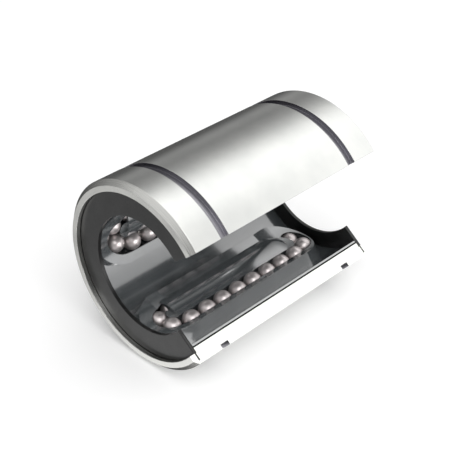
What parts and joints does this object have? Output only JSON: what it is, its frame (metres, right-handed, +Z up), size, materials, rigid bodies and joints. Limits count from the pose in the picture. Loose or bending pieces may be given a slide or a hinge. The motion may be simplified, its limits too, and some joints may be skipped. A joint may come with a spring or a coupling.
{
  "type": "linear ball bushing",
  "caption": "Sectioned closed linear ball bushing: grooved steel sleeve, moulded cage with recirculating ball circuits and a lip seal at each end, with one sector cut away.",
  "frame": {"origin": "on the shaft axis, halfway along the bushing", "axes": "+X along the shaft axis from the front end to the rear end, +Z up, the cut-away sector faces -Y"},
  "size_m": [0.042, 0.0286, 0.032],
  "materials": {
    "sleeve_steel": "ground and hardened bearing steel, polished outside, pale cut faces",
    "cage_plastic": "dark grey moulded plastic with a gloss surface",
    "ball_steel": "polished bearing balls",
    "seal_rubber": "smooth black nitrile rubber",
    "seal_steel": "blackened sheet steel"
  },
  "bodies": {
    "sleeve_assembly": {"outer_sleeve": "sleeve_steel", "ball_cage": "cage_plastic", "front_seal_core": "seal_steel", "front_seal_rubber": "seal_rubber", "rear_seal_core": "seal_steel", "rear_seal_rubber": "seal_rubber"},
    "circuit_1_loaded_row": {"circuit_1_loaded_balls": "ball_steel"},
    "circuit_1_return_row": {"circuit_1_return_balls": "ball_steel"},
    "circuit_1_front_turn": {"circuit_1_front_turn_ball_a": "ball_steel", "circuit_1_front_turn_ball_b": "ball_steel"},
    "circuit_1_rear_turn": {"circuit_1_rear_turn_ball_a": "ball_steel", "circuit_1_rear_turn_ball_b": "ball_steel"},
    "circuit_2_loaded_row": {"circuit_2_loaded_balls": "ball_steel"},
    "circuit_2_return_row": {"circuit_2_return_balls": "ball_steel"},
    "circuit_2_front_turn": {"circuit_2_front_turn_ball_a": "ball_steel", "circuit_2_front_turn_ball_b": "ball_steel"},
    "circuit_2_rear_turn": {"circuit_2_rear_turn_ball_a": "ball_steel", "circuit_2_rear_turn_ball_b": "ball_steel"},
    "circuit_3_loaded_row": {"circuit_3_loaded_balls": "ball_steel"},
    "circuit_3_return_row": {"circuit_3_return_balls": "ball_steel"},
    "circuit_3_front_turn": {"circuit_3_front_turn_ball_a": "ball_steel", "circuit_3_front_turn_ball_b": "ball_steel"},
    "circuit_3_rear_turn": {"circuit_3_rear_turn_ball_a": "ball_steel", "circuit_3_rear_turn_ball_b": "ball_steel"}
  },
  "joints": [
    {"name": "circuit_1_loaded_travel", "type": "slide", "parent": "sleeve_assembly", "child": "circuit_1_loaded_row", "axis": [1, 0, 0], "range_m": [-0.0012, 0.0012]},
    {"name": "circuit_1_return_travel", "type": "slide", "parent": "sleeve_assembly", "child": "circuit_1_return_row", "axis": [1, 0, 0], "range_m": [-0.0012, 0.0012]},
    {"name": "circuit_1_front_turn_travel", "type": "hinge", "parent": "sleeve_assembly", "child": "circuit_1_front_turn", "pos_m": [-0.0135, 0, -0.01181], "axis": [0, -0.1753, -0.9845], "range_deg": [-26.05, 26.05]},
    {"name": "circuit_1_rear_turn_travel", "type": "hinge", "parent": "sleeve_assembly", "child": "circuit_1_rear_turn", "pos_m": [0.0141, 0, -0.01181], "axis": [0, -0.1753, -0.9845], "range_deg": [-26.05, 26.05]},
    {"name": "circuit_2_loaded_travel", "type": "slide", "parent": "sleeve_assembly", "child": "circuit_2_loaded_row", "axis": [1, 0, 0], "range_m": [-0.0012, 0.0012]},
    {"name": "circuit_2_return_travel", "type": "slide", "parent": "sleeve_assembly", "child": "circuit_2_return_row", "axis": [1, 0, 0], "range_m": [-0.0012, 0.0012]},
    {"name": "circuit_2_front_turn_travel", "type": "hinge", "parent": "sleeve_assembly", "child": "circuit_2_front_turn", "pos_m": [-0.0135, 0.01181, 0], "axis": [0, 0.9845, -0.1753], "range_deg": [-26.05, 26.05]},
    {"name": "circuit_2_rear_turn_travel", "type": "hinge", "parent": "sleeve_assembly", "child": "circuit_2_rear_turn", "pos_m": [0.0141, 0.01181, 0], "axis": [0, 0.9845, -0.1753], "range_deg": [-26.05, 26.05]},
    {"name": "circuit_3_loaded_travel", "type": "slide", "parent": "sleeve_assembly", "child": "circuit_3_loaded_row", "axis": [1, 0, 0], "range_m": [-0.0012, 0.0012]},
    {"name": "circuit_3_return_travel", "type": "slide", "parent": "sleeve_assembly", "child": "circuit_3_return_row", "axis": [1, 0, 0], "range_m": [-0.0012, 0.0012]},
    {"name": "circuit_3_front_turn_travel", "type": "hinge", "parent": "sleeve_assembly", "child": "circuit_3_front_turn", "pos_m": [-0.0135, 0, 0.01181], "axis": [0, 0.1753, 0.9845], "range_deg": [-26.05, 26.05]},
    {"name": "circuit_3_rear_turn_travel", "type": "hinge", "parent": "sleeve_assembly", "child": "circuit_3_rear_turn", "pos_m": [0.0141, 0, 0.01181], "axis": [0, 0.1753, 0.9845], "range_deg": [-26.05, 26.05]}
  ],
  "couplings": [
    {"joint": "circuit_1_return_travel", "follows": "circuit_1_loaded_travel", "ratio": -1},
    {"joint": "circuit_1_front_turn_travel", "follows": "circuit_1_loaded_travel", "rad_per_m": -378.66},
    {"joint": "circuit_1_rear_turn_travel", "follows": "circuit_1_loaded_travel", "rad_per_m": -378.66},
    {"joint": "circuit_2_loaded_travel", "follows": "circuit_1_loaded_travel", "ratio": 1},
    {"joint": "circuit_2_return_travel", "follows": "circuit_1_loaded_travel", "ratio": -1},
    {"joint": "circuit_2_front_turn_travel", "follows": "circuit_1_loaded_travel", "rad_per_m": -378.66},
    {"joint": "circuit_2_rear_turn_travel", "follows": "circuit_1_loaded_travel", "rad_per_m": -378.66},
    {"joint": "circuit_3_loaded_travel", "follows": "circuit_1_loaded_travel", "ratio": 1},
    {"joint": "circuit_3_return_travel", "follows": "circuit_1_loaded_travel", "ratio": -1},
    {"joint": "circuit_3_front_turn_travel", "follows": "circuit_1_loaded_travel", "rad_per_m": -378.66},
    {"joint": "circuit_3_rear_turn_travel", "follows": "circuit_1_loaded_travel", "rad_per_m": -378.66}
  ]
}
